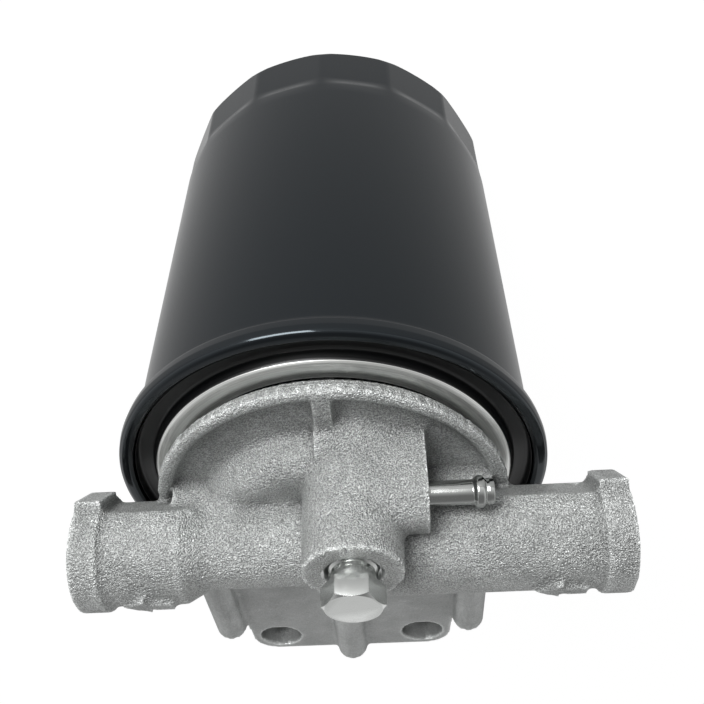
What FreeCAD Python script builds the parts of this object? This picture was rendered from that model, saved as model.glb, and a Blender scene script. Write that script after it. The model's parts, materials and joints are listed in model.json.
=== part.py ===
import FreeCAD, Part
import math
import os
import re
import Sketcher

# Spin-on system filter on a die-cast head, millimetres, +Z up, can hanging down.
# The pieces are drawn round the can's own axis, with height 0 at the can's rolled seam.
# Every placement then moves them so that the origin is midway between the two flange
# holes, on the flange's underside. +X is the outlet end, -X the inlet end, +Y the flange.

SIZES = {
    # flange and frame
    "flange_setback": 59.0,
    "flange_underside": 2.0,
    "flange_thickness": 8.0,
    "flange_hole_spacing": 38.9,
    "flange_hole_radius": 5.5,
    "flange_corner": 7.3,
    "flange_end_half_width": 26.9,
    "flange_root_half_width": 29.6,
    "flange_root": 12.0,
    "rib_radius": 4.1,
    "rib_side_offset": 31.6,
    "rib_side_end": 51.0,
    # head plate
    "rim_radius": 39.4,
    "rim_top": 6.2,
    "rim_underside": 4.0,
    "skirt_inset": 2.0,
    "skirt_underside": 1.2,
    "bead_radius": 1.6,
    "dish_floor": 4.2,
    "dome_radius": 29.1,
    "dome_side": 2.0,
    "dome_back": 4.1,
    "dome_top": 11.5,
    "dome_draft": 4.0,
    "dome_round": 7.0,
    "step_radius": 29.4,
    "step_top": 10.5,
    "land_inset": 0.6,
    "land_overhang": 0.6,
    "land_level": -1.5,
    "chamber_roof": 0.0,
    "hub_radius": 12.5,
    "front_rib_width": 3.8,
    "front_rib_side": -0.3,
    "web_half_width": 8.5,
    "web_half_length": 35.0,
    # port tubes
    "tube_level": 16.3,
    "tube_radius": 11.5,
    "tube_flat": 10.0,
    "neck_radius": 8.8,
    "neck_end": 27.0,
    "neck_taper": 5.0,
    "inlet_reach": 62.5,
    "outlet_reach": 54.8,
    "collar_radius": 12.65,
    "collar_length": 6.0,
    "collar_flat": 12.9,
    "collar_flat_start": 6.6,
    "collar_flat_width": 10.8,
    "port_radius": 7.25,
    "port_depth": 14.0,
    "port_chamfer": 1.2,
    "duct_radius": 5.5,
    "inlet_drop": 20.0,
    "arrow_length": 11.0,
    "arrow_width": 8.6,
    "arrow_shaft_width": 4.0,
    "arrow_head_length": 5.5,
    "arrow_relief": 0.9,
    "arrow_inset": 3.5,
    "arrow_lean": 12.0,
    # vent boss and side boss
    "boss_side": -5.0,
    "boss_front": -13.5,
    "boss_top": 31.2,
    "boss_radius": 10.1,
    "boss_foot_radius": 10.9,
    "side_boss_face": 20.6,
    "side_boss_radius": 7.9,
    "vent_sink_radius": 6.1,
    "vent_sink_depth": 1.4,
    "vent_chamber_floor": 9.0,
    "vent_drill_radius": 1.5,
    # vent plug and its ring
    "plug_flats": 11.0,
    "plug_hex_height": 4.6,
    "plug_hex_chamfer": 1.0,
    "plug_neck_radius": 4.65,
    "plug_neck_height": 2.6,
    "plug_thread_radius": 4.95,
    "plug_thread_length": 7.6,
    "plug_spigot_radius": 3.5,
    "plug_spigot_length": 4.4,
    "ring_section": 0.85,
    "ring_bore_radius": 1.8,
    # hose nipple
    "nipple_front": -16.6,
    "nipple_level": 15.5,
    "nipple_radius": 2.55,
    "nipple_bore": 1.6,
    "nipple_reach": 13.4,
    "nipple_seat": 7.0,
    "nipple_bead_section": 1.35,
    "nipple_bead_height": 0.75,
    "nipple_bead_inset": 2.6,
    # centre stud
    "stud_radius": 8.0,
    "stud_bore": 5.0,
    "stud_seat": 9.0,
    "stud_drop": 16.0,
    "stud_chamfer": 0.8,
    # can
    "body_radius": 46.5,
    "wall": 0.8,
    "can_end": -118.6,
    "end_wall": 1.0,
    "end_round": 3.5,
    "end_recess": 1.2,
    "end_foot_width": 16.5,
    "lip_reach": 2.75,
    "lip_top": -0.1,
    "lip_height": 4.2,
    "lip_round": 1.2,
    "flat_count": 15,
    "flat_top": -100.0,
    "flat_phase": 18.9,
    # lid
    "lid_sheet": 1.0,
    "lid_fit": 0.05,
    "lid_rim_top": -1.2,
    "groove_floor": -3.4,
    "crest_top": 0.0,
    "groove_width": 3.85,
    "crest_corner": 0.7,
    "crest_width": 4.7,
    "crest_slope": 0.9,
    "channel_width": 7.8,
    "channel_floor": -5.5,
    "lid_lip": -4.2,
    # gasket, tapping plate and diaphragm
    "gasket_fit": 0.3,
    "seal_gap": 0.05,
    "plate_thickness": 3.0,
    "plate_inset": 1.5,
    "plate_neck_radius": 10.5,
    "plate_neck_drop": 8.0,
    "thread_fit": 0.05,
    "inlet_hole_count": 8,
    "inlet_hole_radius": 3.0,
    "inlet_hole_circle": 20.0,
    "diaphragm_radius": 28.5,
    "diaphragm_sheet": 1.2,
    "diaphragm_hub": 14.0,
    "diaphragm_hub_height": 2.0,
    # filter element
    "grommet_radius": 14.0,
    "grommet_flange": 1.9,
    "grommet_collar": 12.2,
    "grommet_drop": 2.0,
    "cap_sheet": 0.8,
    "element_gap": 8.9,
    "cap_skirt": 4.0,
    "media_length": 83.0,
    "pleat_fit": 0.4,
    "media_inner": 18.0,
    "media_sheet": 0.8,
    "pleat_count": 40,
    "core_radius": 16.8,
    "core_wall": 0.8,
    "core_hole_radius": 2.5,
    "core_hole_columns": 8,
    "core_hole_rows": 7,
    # bypass valve
    "bypass_port": 7.0,
    "poppet_radius": 9.0,
    "poppet_thickness": 1.5,
    "stem_radius": 1.5,
    "stem_length": 13.0,
    "cage_radius": 12.0,
    "cage_height": 11.0,
    "cage_sheet": 0.8,
    "cage_window": 4.0,
    "bypass_coil_radius": 5.5,
    "bypass_wire": 0.45,
    "bypass_turns": 5,
    # end spring and magnet
    "coil_radius": 22.0,
    "coil_wire": 1.1,
    "coil_turns": 4,
    "magnet_outer": 16.0,
    "magnet_inner": 6.0,
    "magnet_height": 7.0,
    "cup_sheet": 0.8,
    "cup_lip": 1.0,
}

UPRIGHT = FreeCAD.Rotation()
TO_OUTLET = FreeCAD.Rotation(FreeCAD.Vector(0, 1, 0), 90)
TO_INLET = FreeCAD.Rotation(FreeCAD.Vector(0, 1, 0), -90)
TO_BACK = FreeCAD.Rotation(FreeCAD.Vector(1, 0, 0), -90)
FLAT_LEAN = FreeCAD.Rotation(FreeCAD.Vector(1, 0, 0), -45)
ARROW_LEAN = FreeCAD.Rotation(FreeCAD.Vector(1, 0, 0), -SIZES["arrow_lean"])

doc = FreeCAD.newDocument("system_filter")
nodes = []


# ---- sheet, binding and small builders ----

def fill_sheet():
    sheet = doc.addObject("Spreadsheet::Sheet", "sizes")
    for row, (alias, value) in enumerate(SIZES.items(), start=1):
        sheet.set("A%d" % row, alias.replace("_", " "))
        sheet.set("B%d" % row, str(value))
        sheet.setAlias("B%d" % row, alias)
    doc.recompute()


ALIAS = re.compile(r"\b(" + "|".join(SIZES) + r")\b")


def bind(item, target, text):
    item.setExpression(target, ALIAS.sub(r"sizes.\1", text))


def plane(body, role):
    return next(item for item in body.Origin.OriginFeatures if item.Role == role)


def place(item, x="0", y="0", z="0"):
    bind(item, "Placement.Base.x", x)
    bind(item, "Placement.Base.y", "%s - flange_setback" % y)
    bind(item, "Placement.Base.z", "%s - flange_underside" % z)
    nodes.append(item)


def new_body(name):
    return doc.addObject("PartDesign::Body", name)


def outline(body, name, role, points):
    """A closed sketch whose corners are bound to the sheet."""
    sketch = body.newObject("Sketcher::SketchObject", name)
    sketch.AttachmentSupport = [(plane(body, role), "")]
    sketch.MapMode = "FlatFace"
    count = len(points)
    turns = [2 * math.pi * index / count for index in range(count)]
    starts = [FreeCAD.Vector(20 * math.cos(turn), 20 * math.sin(turn), 0) for turn in turns]
    for index in range(count):
        sketch.addGeometry(Part.LineSegment(starts[index], starts[(index + 1) % count]), False)
    for index, (across, along) in enumerate(points):
        sketch.addConstraint(Sketcher.Constraint("Coincident", index, 2, (index + 1) % count, 1))
        for kind, text in (("DistanceX", across), ("DistanceY", along)):
            number = sketch.addConstraint(Sketcher.Constraint(kind, -1, 1, index, 1, 1.0))
            bind(sketch, "Constraints[%d]" % number, text)
    return sketch


def turned(body, name, points, kind="Revolution"):
    """A section in the XZ plane, corners as (radius, height), turned round the body's Z axis."""
    sketch = outline(body, name + "_section", "XZ_Plane", points)
    feature = body.newObject("PartDesign::" + kind, name)
    feature.Profile = sketch
    feature.ReferenceAxis = (sketch, ["V_Axis"])
    feature.Angle = 360
    return feature


def padded(body, name, points, length, turn=UPRIGHT, y="0", z="0"):
    sketch = outline(body, name + "_outline", "XY_Plane", points)
    sketch.AttachmentOffset = FreeCAD.Placement(FreeCAD.Vector(), turn)
    bind(sketch, "AttachmentOffset.Base.y", y)
    bind(sketch, "AttachmentOffset.Base.z", z)
    feature = body.newObject("PartDesign::Pad", name)
    feature.Profile = sketch
    bind(feature, "Length", length)
    return feature


def primitive(body, kind, name, sizes, x="0", y="0", z="0", turn=UPRIGHT):
    feature = body.newObject("PartDesign::" + kind, name)
    feature.AttachmentSupport = [(plane(body, "XY_Plane"), "")]
    feature.MapMode = "FlatFace"
    feature.AttachmentOffset = FreeCAD.Placement(FreeCAD.Vector(), turn)
    for target, text in sizes.items():
        bind(feature, target, text)
    for axis, text in (("x", x), ("y", y), ("z", z)):
        bind(feature, "AttachmentOffset.Base." + axis, text)
    return feature


def rod(body, name, radius, length, **where):
    return primitive(body, "AdditiveCylinder", name, {"Radius": radius, "Height": length}, **where)


def bore(body, name, radius, length, **where):
    return primitive(body, "SubtractiveCylinder", name, {"Radius": radius, "Height": length}, **where)


def cone(body, name, foot, top, length, **where):
    sizes = {"Radius1": foot, "Radius2": top, "Height": length}
    return primitive(body, "AdditiveCone", name, sizes, **where)


def block(body, name, length, width, height, kind="AdditiveBox", **where):
    sizes = {"Length": length, "Width": width, "Height": height}
    return primitive(body, kind, name, sizes, **where)


def patterned(body, name, originals, count):
    """Copies of some features spread evenly round the body's Z axis."""
    pattern = body.newObject("PartDesign::PolarPattern", name)
    pattern.Originals = originals
    pattern.Axis = (plane(body, "Z_Axis"), [""])
    pattern.Angle = 360
    bind(pattern, "Occurrences", count)
    body.Tip = pattern
    return pattern


def rounded(body, name, radius, wanted):
    """A fillet on the edges of the body's last feature that the test picks out."""
    doc.recompute()
    base = body.Tip
    edges = ["Edge%d" % number for number, edge in enumerate(base.Shape.Edges, start=1) if wanted(edge)]
    fillet = body.newObject("PartDesign::Fillet", name)
    fillet.Base = (base, edges)
    bind(fillet, "Radius", radius)
    doc.recompute()
    return fillet


def is_circle(edge, radius, height):
    curve = edge.Curve
    if not isinstance(curve, Part.Circle):
        return False
    return abs(curve.Radius - radius) < 0.01 and abs(curve.Center.z - height) < 0.01


# ---- die-cast head ----

def arrows(body):
    """Raised flow arrows on both tubes, pointing from inlet to outlet."""
    tips = (
        ("outlet_arrow", "outlet_reach - collar_length - arrow_inset - arrow_length"),
        ("inlet_arrow", "-inlet_reach + collar_length + arrow_inset"),
    )
    for name, tail in tips:
        neck = "%s + arrow_length - arrow_head_length" % tail
        padded(
            body,
            name,
            [
                (tail, "-arrow_shaft_width / 2"),
                (neck, "-arrow_shaft_width / 2"),
                (neck, "-arrow_width / 2"),
                ("%s + arrow_length" % tail, "0"),
                (neck, "arrow_width / 2"),
                (neck, "arrow_shaft_width / 2"),
                (tail, "arrow_shaft_width / 2"),
            ],
            "tube_radius + arrow_relief",
            turn=ARROW_LEAN,
            z="tube_level",
        )


def port_tubes(body):
    """Both tubes lie on one line across the can's axis; each has a flat on its lower front."""
    rod(body, "inlet_tube", "tube_radius", "inlet_reach", x="-inlet_reach", z="tube_level", turn=TO_OUTLET)
    rod(body, "neck_tube", "neck_radius", "neck_end + neck_taper", z="tube_level", turn=TO_OUTLET)
    cone(body, "neck_shoulder", "neck_radius", "tube_radius", "neck_taper",
         x="neck_end", z="tube_level", turn=TO_OUTLET)
    rod(
        body,
        "outlet_tube",
        "tube_radius",
        "outlet_reach - neck_end - neck_taper",
        x="neck_end + neck_taper",
        z="tube_level",
        turn=TO_OUTLET,
    )
    block(
        body,
        "tube_flat_cut",
        "inlet_reach + outlet_reach + 2",
        "tube_radius * 2 + 2",
        "tube_radius",
        kind="SubtractiveBox",
        x="-inlet_reach - 1",
        y="-(tube_flat + tube_radius) * sin(45) - (tube_radius + 1) * cos(45)",
        z="tube_level - (tube_flat + tube_radius) * cos(45) + (tube_radius + 1) * sin(45)",
        turn=FLAT_LEAN,
    )
    for end, start in (("inlet", "-inlet_reach"), ("outlet", "outlet_reach - collar_length")):
        rod(body, end + "_collar", "collar_radius", "collar_length", x=start, z="tube_level", turn=TO_OUTLET)
        block(
            body,
            end + "_collar_flat",
            "collar_length",
            "collar_flat_width",
            "collar_flat",
            x=start,
            y="-(collar_flat_start + collar_flat) * cos(45)",
            z="tube_level + (collar_flat_start - collar_flat) * cos(45)",
            turn=FLAT_LEAN,
        )
    arrows(body)


def head_plate(body):
    """Rim, dish and dome above; gasket land, chamber and hub below."""
    turned(body, "head_plate", [
        ("0", "land_level"),
        ("hub_radius", "land_level"),
        ("hub_radius", "chamber_roof"),
        (CHANNEL_INNER + " - land_overhang", "chamber_roof"),
        (CHANNEL_INNER + " - land_overhang", "land_level"),
        (CHANNEL_OUTER + " - land_inset", "land_level"),
        (CHANNEL_OUTER + " - land_inset", "skirt_underside"),
        ("rim_radius - skirt_inset", "skirt_underside"),
        ("rim_radius - skirt_inset", "rim_underside"),
        ("rim_radius", "rim_underside"),
        ("rim_radius", "rim_top"),
        ("rim_radius - bead_radius", "rim_top"),
        ("rim_radius - bead_radius * 2", "dish_floor"),
        ("0", "dish_floor"),
    ])
    cone(body, "dome", "dome_radius", "dome_radius - dome_draft", "dome_top - dish_floor",
         x="dome_side", y="dome_back", z="dish_floor")
    crown = SIZES["dome_radius"] - SIZES["dome_draft"]
    rounded(body, "dome_rounding", "dome_round", lambda edge: is_circle(edge, crown, SIZES["dome_top"]))
    block(
        body,
        "dome_trim",
        "dome_radius * 4",
        "dome_radius * 2",
        "dome_top - flange_underside",
        kind="SubtractiveBox",
        x="-dome_radius * 2",
        z="flange_underside + flange_thickness",
    )


def front_step(body):
    """Rounded step in front of the two bosses, cut off square at the hose's side."""
    turned(body, "step", [
        ("0", "dish_floor - 0.5"),
        ("step_radius", "dish_floor - 0.5"),
        ("step_radius", "dish_floor"),
        ("step_radius - dome_draft", "step_top"),
        ("0", "step_top"),
    ])
    crown = SIZES["step_radius"] - SIZES["dome_draft"]
    rounded(body, "step_rounding", "dome_round", lambda edge: is_circle(edge, crown, SIZES["step_top"]))
    for name, left, front, width in (
        ("hose_side", "-side_boss_face - step_radius", "-step_radius", "step_radius"),
        ("dome_side", "dome_side", "-step_radius", "step_radius"),
        ("web_side", "-step_radius", "0", "step_radius * 2"),
    ):
        block(
            body,
            name + "_trim",
            width,
            "step_radius * 2",
            "step_top - dish_floor + 2",
            kind="SubtractiveBox",
            x=left,
            y=front,
            z="dish_floor - 1",
        )


def combined(body, name, kind, tools):
    result = body.newObject("PartDesign::Boolean", name)
    result.Type = kind
    result.addObjects(tools)
    body.Tip = result


def bosses(body):
    """The web under the tubes, the vent boss, the side boss for the hose and the small front rib."""
    block(
        body,
        "right_pocket",
        "dome_radius - side_boss_face + 1",
        "dome_radius - web_half_width + 1",
        "dome_top - dish_floor + 1",
        kind="SubtractiveBox",
        x="-dome_radius - 1",
        y="-dome_radius - 1",
        z="dish_floor",
    )
    primitive(
        body,
        "AdditiveTorus",
        "rim_bead",
        {"Radius1": "rim_radius - bead_radius", "Radius2": "bead_radius"},
        z="rim_top - bead_radius * 0.75",
    )
    block(
        body,
        "tube_web",
        "web_half_length * 2",
        "web_half_width * 2",
        "tube_level - dish_floor + 0.5",
        x="-web_half_length",
        y="-web_half_width",
        z="dish_floor - 0.5",
    )
    cone(body, "vent_boss", "boss_foot_radius", "boss_radius", "boss_top - chamber_roof - 1",
         x="boss_side", y="boss_front", z="chamber_roof + 1")
    rod(
        body,
        "side_boss",
        "side_boss_radius",
        "side_boss_face + boss_side",
        x="-side_boss_face",
        y="nipple_front",
        z="nipple_level",
        turn=TO_OUTLET,
    )
    block(
        body,
        "side_boss_foot",
        "side_boss_face + boss_side",
        "side_boss_radius * 2",
        "nipple_level - chamber_roof - 1",
        x="-side_boss_face",
        y="nipple_front - side_boss_radius",
        z="chamber_roof + 1",
    )
    block(
        body,
        "front_rib",
        "front_rib_width",
        "rim_radius - bead_radius + boss_front - boss_radius + 1",
        "rim_top - dish_floor + 0.9",
        x="front_rib_side - front_rib_width / 2",
        y="-rim_radius + bead_radius",
        z="dish_floor - 0.5",
    )


def flange(body):
    """Horizontal mounting flange with two holes and three half-round ribs."""
    padded(
        body,
        "flange_plate",
        [
            ("-flange_root_half_width", "flange_root"),
            ("flange_root_half_width", "flange_root"),
            ("flange_end_half_width", "flange_setback + flange_corner"),
            ("-flange_end_half_width", "flange_setback + flange_corner"),
        ],
        "flange_thickness",
        z="flange_underside",
    )
    far = SIZES["flange_setback"] + SIZES["flange_corner"]
    rounded(body, "flange_corners", "flange_corner", lambda edge: (
        edge.Length > 1
        and abs(edge.Vertexes[0].Y - far) < 0.01
        and abs(edge.Vertexes[-1].Y - far) < 0.01
        and abs(edge.Vertexes[0].X - edge.Vertexes[-1].X) < 0.01
    ))
    ribs = (
        ("centre_rib", "0", "flange_setback + flange_corner"),
        ("outlet_rib", "rib_side_offset", "rib_side_end"),
        ("inlet_rib", "-rib_side_offset", "rib_side_end"),
    )
    for name, side, end in ribs:
        rod(
            body,
            name,
            "rib_radius",
            end,
            x=side,
            z="flange_underside + flange_thickness",
            turn=TO_BACK,
        )
        block(
            body,
            name + "_foot",
            "rib_radius * 2",
            "%s - flange_root" % end,
            "flange_thickness",
            x="%s - rib_radius" % side,
            y="flange_root",
            z="flange_underside",
        )
    for name, side in (("outlet", "flange_hole_spacing / 2"), ("inlet", "-flange_hole_spacing / 2")):
        bore(
            body,
            name + "_hole",
            "flange_hole_radius",
            "flange_thickness + rib_radius + 2",
            x=side,
            y="flange_setback",
            z="flange_underside - 1",
        )


PLUG_HOLE = "plug_thread_radius + thread_fit"


def inlet_core(body):
    """Hollow of the inlet: threaded port, duct along the tube, and fall into the annular chamber."""
    rod(body, "duct", "duct_radius", "inlet_reach - inlet_drop + 1",
        x="-inlet_reach - 1", z="tube_level", turn=TO_OUTLET)
    rod(body, "port", "port_radius", "port_depth + 1",
        x="-inlet_reach - 1", z="tube_level", turn=TO_OUTLET)
    cone(body, "chamfer", "port_radius + port_chamfer", "port_radius", "port_chamfer",
         x="-inlet_reach", z="tube_level", turn=TO_OUTLET)
    rod(body, "fall", "duct_radius - 0.5", "tube_level - land_level + 1",
        x="-inlet_drop", z="land_level - 1")


def outlet_core(body):
    """Hollow of the outlet and stud hole, with the vent chamber and hose drilling that join it."""
    vent = {"x": "boss_side", "y": "boss_front"}
    hose = {"x": "-side_boss_face - 1", "y": "nipple_front", "z": "nipple_level", "turn": TO_OUTLET}
    rod(body, "duct", "duct_radius", "outlet_reach + 1", z="tube_level", turn=TO_OUTLET)
    rod(body, "port", "port_radius", "port_depth + 1",
        x="outlet_reach - port_depth", z="tube_level", turn=TO_OUTLET)
    cone(body, "chamfer", "port_radius", "port_radius + port_chamfer", "port_chamfer",
         x="outlet_reach - port_chamfer", z="tube_level", turn=TO_OUTLET)
    rod(body, "rise", "stud_bore", "tube_level - stud_seat + 1", z="stud_seat - 1")
    rod(body, "stud_hole", "stud_radius + thread_fit", "stud_seat - land_level + 1", z="land_level - 1")
    rod(body, "vent_drilling", "vent_drill_radius", "-boss_front", z="tube_level", turn=TO_BACK, **vent)
    rod(body, "vent_chamber", "plug_spigot_radius + thread_fit * 2",
        "boss_top - vent_sink_depth - vent_chamber_floor", z="vent_chamber_floor", **vent)
    rod(body, "vent_thread", PLUG_HOLE, "vent_sink_depth + plug_thread_length",
        z="boss_top - vent_sink_depth - plug_thread_length", **vent)
    cone(body, "vent_sink", PLUG_HOLE, "vent_sink_radius", "vent_sink_depth",
         z="boss_top - vent_sink_depth", **vent)
    rod(body, "hose_drilling", "nipple_bore", "side_boss_face + boss_side + 1", **hose)
    rod(body, "hose_seat", "nipple_radius + lid_fit", "nipple_seat + 1", **hose)


def filter_head():
    makers = {
        "front_step": front_step,
        "port_tubes": port_tubes,
        "mounting_flange": flange,
        "inlet_core": inlet_core,
        "outlet_core": outlet_core,
    }
    pieces = {name: new_body(name) for name in makers}
    for name, maker in makers.items():
        maker(pieces[name])
    body = new_body("filter_head")
    head_plate(body)
    bosses(body)
    combined(body, "casting", "Fuse", [pieces["front_step"], pieces["port_tubes"], pieces["mounting_flange"]])
    combined(body, "passages", "Cut", [pieces["inlet_core"], pieces["outlet_core"]])
    place(body)


# ---- pieces on the head ----

def centre_stud():
    """Hollow threaded stud: the can screws onto it and clean water returns through it."""
    body = new_body("centre_stud")
    turned(body, "stud", [
        ("stud_bore", "-stud_drop"),
        ("stud_radius - stud_chamfer", "-stud_drop"),
        ("stud_radius", "-stud_drop + stud_chamfer"),
        ("stud_radius", "stud_seat - stud_chamfer"),
        ("stud_radius - stud_chamfer", "stud_seat"),
        ("stud_bore", "stud_seat"),
    ])
    place(body)


def vent_plug():
    """Bleed screw: hexagon, neck, thread, and a spigot grooved for its sealing ring."""
    body = new_body("vent_plug")
    groove = "plug_spigot_length / 2"
    half = "(ring_section + lid_fit)"
    seat = "ring_bore_radius - lid_fit"
    thread_top = "-plug_neck_height"
    thread_foot = "-(plug_neck_height + plug_thread_length)"
    turned(body, "shank", [
        ("0", "%s - plug_spigot_length" % thread_foot),
        ("plug_spigot_radius", "%s - plug_spigot_length" % thread_foot),
        ("plug_spigot_radius", "%s - %s - %s" % (thread_foot, groove, half)),
        (seat, "%s - %s - %s" % (thread_foot, groove, half)),
        (seat, "%s - %s + %s" % (thread_foot, groove, half)),
        ("plug_spigot_radius", "%s - %s + %s" % (thread_foot, groove, half)),
        ("plug_spigot_radius", thread_foot),
        ("plug_thread_radius", thread_foot),
        ("plug_thread_radius", "%s - vent_sink_depth" % thread_top),
        ("plug_neck_radius", "%s - vent_sink_depth" % thread_top),
        ("plug_neck_radius", "0"),
        ("0", "0"),
    ])
    head = primitive(
        body,
        "AdditivePrism",
        "hexagon",
        {"Circumradius": "plug_flats / 2 / cos(30)", "Height": "plug_hex_height"},
    )
    head.Polygon = 6
    turned(body, "hexagon_chamfer", [
        ("plug_flats / 2", "plug_hex_height"),
        ("plug_flats / 2 + 2 * plug_hex_chamfer", "plug_hex_height - plug_hex_chamfer"),
        ("plug_flats / 2 + 2 * plug_hex_chamfer", "plug_hex_height + 1"),
        ("plug_flats / 2", "plug_hex_height + 1"),
    ], kind="Groove")
    place(body, "boss_side", "boss_front", "boss_top + plug_neck_height")


def vent_ring():
    ring = doc.addObject("Part::Torus", "vent_ring")
    bind(ring, "Radius1", "ring_bore_radius + ring_section")
    bind(ring, "Radius2", "ring_section")
    place(ring, "boss_side", "boss_front", "boss_top - plug_thread_length - plug_spigot_length / 2")


def hose_nipple():
    """Pressed-in hose tail with a rolled bead, lying along the inlet direction."""
    body = new_body("hose_nipple")
    rod(body, "tail", "nipple_radius", "nipple_seat + nipple_reach", z="-nipple_seat")
    primitive(
        body,
        "AdditiveTorus",
        "bead",
        {
            "Radius1": "nipple_radius + nipple_bead_height - nipple_bead_section",
            "Radius2": "nipple_bead_section",
        },
        z="nipple_reach - nipple_bead_inset",
    )
    bore(body, "tail_bore", "nipple_bore", "nipple_seat + nipple_reach + 2", z="-nipple_seat - 1")
    body.Placement = FreeCAD.Placement(FreeCAD.Vector(), TO_INLET)
    place(body, "-side_boss_face", "nipple_front", "nipple_level")


# ---- can ----

BODY_INNER = "body_radius - wall"
LIP_RADIUS = "body_radius + lip_reach"
RECESS_RADIUS = "body_radius - end_foot_width"
LID_RIM = BODY_INNER + " - lid_fit"
CREST_OUTER = LID_RIM + " - lid_sheet - groove_width"
CREST_INNER = CREST_OUTER + " - crest_width"
CHANNEL_OUTER = CREST_INNER + " - crest_slope"
CHANNEL_INNER = CHANNEL_OUTER + " - channel_width"
PLATE_RADIUS = CHANNEL_OUTER + " + lid_sheet - plate_inset"
CAP_RADIUS = BODY_INNER + " - element_gap"
FLAT_DISTANCE = "body_radius * cos(180 / flat_count)"
END_INNER = "can_end + end_wall"


def canister_shell():
    """Deep-drawn can with a rolled seam at its mouth and wrench flats near its closed end."""
    body = new_body("canister_shell")
    turned(body, "can", [
        ("0", "can_end + end_recess"),
        (RECESS_RADIUS, "can_end + end_recess"),
        (RECESS_RADIUS + " + end_recess * 2", "can_end"),
        ("body_radius", "can_end"),
        ("body_radius", "lip_top - lip_height - lip_round"),
        (LIP_RADIUS, "lip_top - lip_height"),
        (LIP_RADIUS, "lip_top"),
        (BODY_INNER, "lip_top"),
        (BODY_INNER, "flat_top + 2"),
        (FLAT_DISTANCE + " - wall", "flat_top"),
        (FLAT_DISTANCE + " - wall", END_INNER),
        (RECESS_RADIUS + " + end_recess * 2", END_INNER),
        (RECESS_RADIUS, END_INNER + " + end_recess"),
        ("0", END_INNER + " + end_recess"),
    ])
    lip = SIZES["body_radius"] + SIZES["lip_reach"]
    rounded(body, "seam_rounding", "lip_round", lambda edge: (
        is_circle(edge, lip, SIZES["lip_top"])
        or is_circle(edge, SIZES["body_radius"] - SIZES["wall"], SIZES["lip_top"])
        or is_circle(edge, lip, SIZES["lip_top"] - SIZES["lip_height"])
    ))
    flat = block(
        body,
        "wrench_flat",
        "body_radius",
        "body_radius",
        "flat_top - can_end + 1",
        kind="SubtractiveBox",
        x=FLAT_DISTANCE,
        y="-body_radius / 2",
        z="can_end - 1",
    )
    patterned(body, "wrench_flats", [flat], "flat_count")
    doc.recompute()
    end = SIZES["can_end"]
    outer = SIZES["body_radius"] * 0.9
    rounded(body, "end_rounding", "end_round", lambda edge: (
        all(abs(point.Z - end) < 0.01 and math.hypot(point.X, point.Y) > outer for point in edge.Vertexes)
    ))
    body.Placement.Rotation = FreeCAD.Rotation(FreeCAD.Vector(0, 0, 1), SIZES["flat_phase"])
    place(body)


def seaming_lid():
    """Zinc-plated sheet lid: groove, raised crest and gasket channel, bent from one sheet."""
    body = new_body("seaming_lid")
    turned(body, "lid", [
        (LID_RIM + " - lid_sheet", "lid_rim_top"),
        (LID_RIM + " - lid_sheet", "groove_floor"),
        (CREST_OUTER, "groove_floor"),
        (CREST_OUTER, "crest_top - crest_corner"),
        (CREST_OUTER + " - crest_corner", "crest_top"),
        (CREST_INNER, "crest_top"),
        (CHANNEL_OUTER, "crest_top - crest_slope"),
        (CHANNEL_OUTER, "channel_floor"),
        (CHANNEL_INNER, "channel_floor"),
        (CHANNEL_INNER, "lid_lip"),
        (CHANNEL_INNER + " - lid_sheet", "lid_lip"),
        (CHANNEL_INNER + " - lid_sheet", "channel_floor - lid_sheet"),
        (CHANNEL_OUTER + " + lid_sheet", "channel_floor - lid_sheet"),
        (CHANNEL_OUTER + " + lid_sheet", "crest_top - lid_sheet"),
        (CREST_OUTER + " - lid_sheet", "crest_top - lid_sheet"),
        (CREST_OUTER + " - lid_sheet", "groove_floor - lid_sheet"),
        (LID_RIM, "groove_floor - lid_sheet"),
        (LID_RIM, "lid_rim_top"),
    ])
    place(body)


def head_gasket():
    body = new_body("head_gasket")
    turned(body, "gasket", [
        (CHANNEL_INNER + " + gasket_fit", "channel_floor + seal_gap"),
        (CHANNEL_OUTER + " - gasket_fit", "channel_floor + seal_gap"),
        (CHANNEL_OUTER + " - gasket_fit", "land_level - seal_gap"),
        (CHANNEL_INNER + " + gasket_fit", "land_level - seal_gap"),
    ])
    place(body)


PLATE_TOP = "channel_floor - lid_sheet"
PLATE_FOOT = PLATE_TOP + " - plate_thickness"


def tapping_plate():
    """Thick pierced plate under the lid; its drawn neck carries the thread for the stud."""
    body = new_body("tapping_plate")
    turned(body, "plate", [
        ("stud_radius + thread_fit", PLATE_TOP),
        (PLATE_RADIUS, PLATE_TOP),
        (PLATE_RADIUS, PLATE_FOOT),
        ("plate_neck_radius", PLATE_FOOT),
        ("plate_neck_radius", PLATE_FOOT + " - plate_neck_drop"),
        ("stud_radius + thread_fit", PLATE_FOOT + " - plate_neck_drop"),
    ])
    hole = bore(body, "inlet_hole", "inlet_hole_radius", "plate_thickness + 2",
                x="inlet_hole_circle", z=PLATE_FOOT + " - 1")
    patterned(body, "inlet_holes", [hole], "inlet_hole_count")
    place(body)


DIAPHRAGM_TOP = PLATE_FOOT + " - seal_gap"
GROMMET_TOP = DIAPHRAGM_TOP + " - diaphragm_hub_height"
CAP_TOP = GROMMET_TOP + " - grommet_flange"
NECK_FIT = "plate_neck_radius + lid_fit"


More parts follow.
